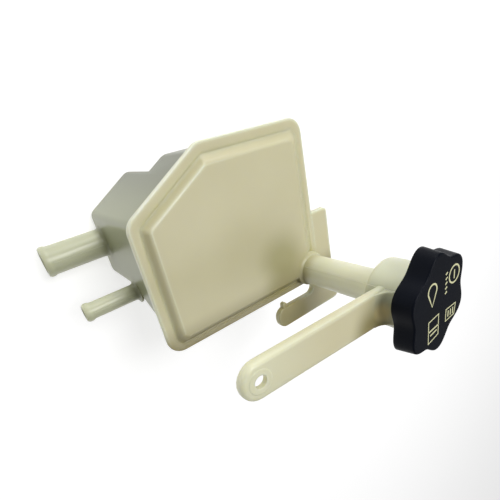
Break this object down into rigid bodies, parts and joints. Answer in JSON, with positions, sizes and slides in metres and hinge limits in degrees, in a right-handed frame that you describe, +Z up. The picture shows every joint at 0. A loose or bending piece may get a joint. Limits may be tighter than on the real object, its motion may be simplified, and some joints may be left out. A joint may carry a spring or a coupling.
{
  "type": "power steering reservoir",
  "caption": "Remote power steering fluid reservoir: stepped tub with hose nipples, and a one-piece cover with filler neck, lobed screw cap, long mounting arm and hooked bracket.",
  "frame": {"origin": "centre of the mounting arm's bolt hole, on the top face of the boss round it", "axes": "+Z up along the filler neck towards the cap, +X from the hose nipples' side towards the filler neck, +Y from the hooked bracket towards the cover's back edge"},
  "size_m": [0.1678, 0.1261, 0.1782],
  "materials": {
    "tub_plastic": "translucent, smooth",
    "cover_plastic": "natural colour, satin",
    "cap_plastic": "black, finely grained, with pale print",
    "seal_rubber": "matt",
    "strainer_nylon": "satin",
    "strainer_mesh": "fine mesh"
  },
  "bodies": {
    "reservoir": {"reservoir_body": "tub_plastic", "top_cover": "cover_plastic", "strainer_cage": "strainer_nylon", "strainer_screen": "strainer_mesh"},
    "cap_seal": {"cap_gasket": "seal_rubber"},
    "cap": {"filler_cap": "cap_plastic"}
  },
  "joints": [
    {"name": "cap_lift", "type": "slide", "parent": "reservoir", "child": "cap_seal", "axis": [0, 0, 1], "range_m": [0, 0.0071]},
    {"name": "cap_turn", "type": "hinge", "parent": "cap_seal", "child": "cap", "pos_m": [0.09603, -0.00571, 0.009], "axis": [0, 0, 1], "range_deg": [0, 630]}
  ],
  "couplings": [
    {"joint": "cap_lift", "follows": "cap_turn", "m_per_rad": 0.00063662}
  ]
}
